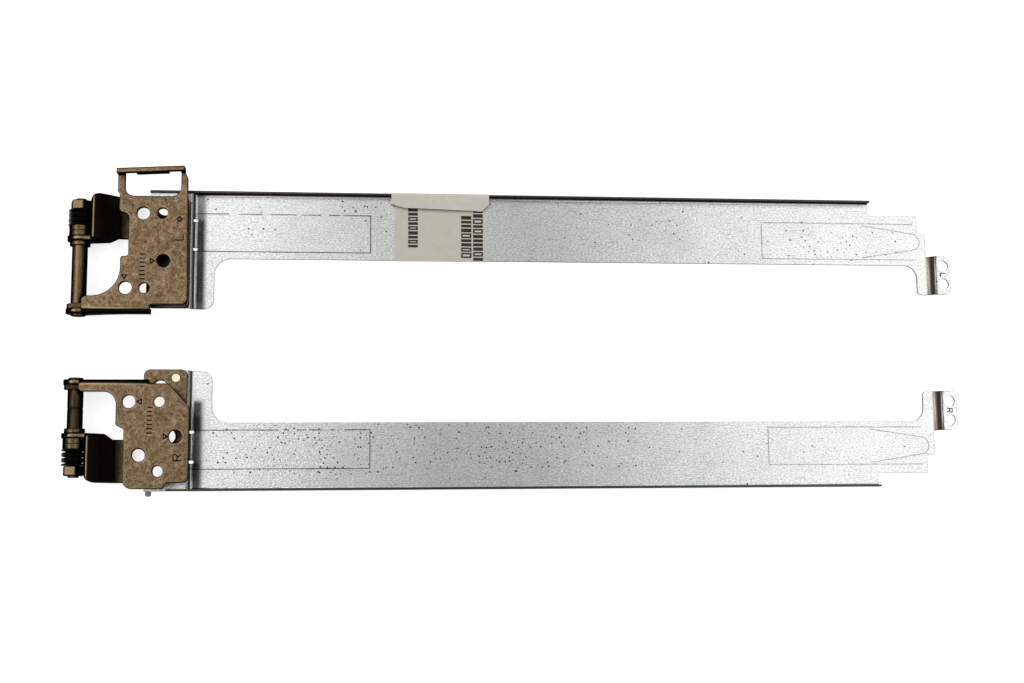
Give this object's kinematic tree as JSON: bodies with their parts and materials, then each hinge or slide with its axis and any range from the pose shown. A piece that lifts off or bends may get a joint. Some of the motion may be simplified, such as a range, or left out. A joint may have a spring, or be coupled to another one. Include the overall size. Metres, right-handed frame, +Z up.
{
  "type": "laptop hinge pair",
  "caption": "Pair of laptop lid hinges: long folded sheet rails with screw tabs, riveted lid brackets, and base brackets that turn on friction shafts with disc springs.",
  "frame": {"origin": "middle of the pair's outline, on the table that the rails lie on", "axes": "+X along the rails from the hinge axis to the end tabs, +Y from the right unit to the left one, +Z up"},
  "size_m": [0.2304, 0.082, 0.0115],
  "materials": {
    "galvanised_sheet": "galvanised, fine rolled grain",
    "bronzed_steel": "antique bronze plate, tumbled",
    "bronzed_shaft": "turned, antique bronze plate",
    "bronze_washer": "oiled bronze",
    "spring_steel": "blackened spring steel",
    "rivet_steel": "bright plated",
    "label_paper": "matt coated paper"
  },
  "bodies": {
    "screen_side": {"left_rail": "galvanised_sheet", "left_lid_bracket": "bronzed_steel", "left_rail_rivets": "rivet_steel", "right_rail": "galvanised_sheet", "right_lid_bracket": "bronzed_steel", "right_rail_rivets": "rivet_steel", "left_label": "label_paper"},
    "left_base": {"left_base_bracket": "bronzed_steel", "left_shaft": "bronzed_shaft", "left_base_washer": "bronzed_shaft", "left_friction_washer": "bronze_washer", "left_keyed_washer": "bronze_washer", "left_lock_nut": "bronzed_shaft", "left_disc_spring_1": "spring_steel", "left_disc_spring_2": "spring_steel", "left_disc_spring_3": "spring_steel", "left_disc_spring_4": "spring_steel", "left_disc_spring_5": "spring_steel", "left_disc_spring_6": "spring_steel"},
    "right_base": {"right_base_bracket": "bronzed_steel", "right_shaft": "bronzed_shaft", "right_base_washer": "bronzed_shaft", "right_friction_washer": "bronze_washer", "right_keyed_washer": "bronze_washer", "right_lock_nut": "bronzed_shaft", "right_disc_spring_1": "spring_steel", "right_disc_spring_2": "spring_steel", "right_disc_spring_3": "spring_steel", "right_disc_spring_4": "spring_steel", "right_disc_spring_5": "spring_steel", "right_disc_spring_6": "spring_steel"}
  },
  "joints": [
    {"name": "left_hinge", "type": "hinge", "parent": "screen_side", "child": "left_base", "pos_m": [-0.11215, 0.0167, 0.0056], "axis": [0, -1, 0], "range_deg": [0, 140]},
    {"name": "right_hinge", "type": "hinge", "parent": "screen_side", "child": "right_base", "pos_m": [-0.11215, -0.0197, 0.0056], "axis": [0, -1, 0], "range_deg": [0, 140]}
  ]
}
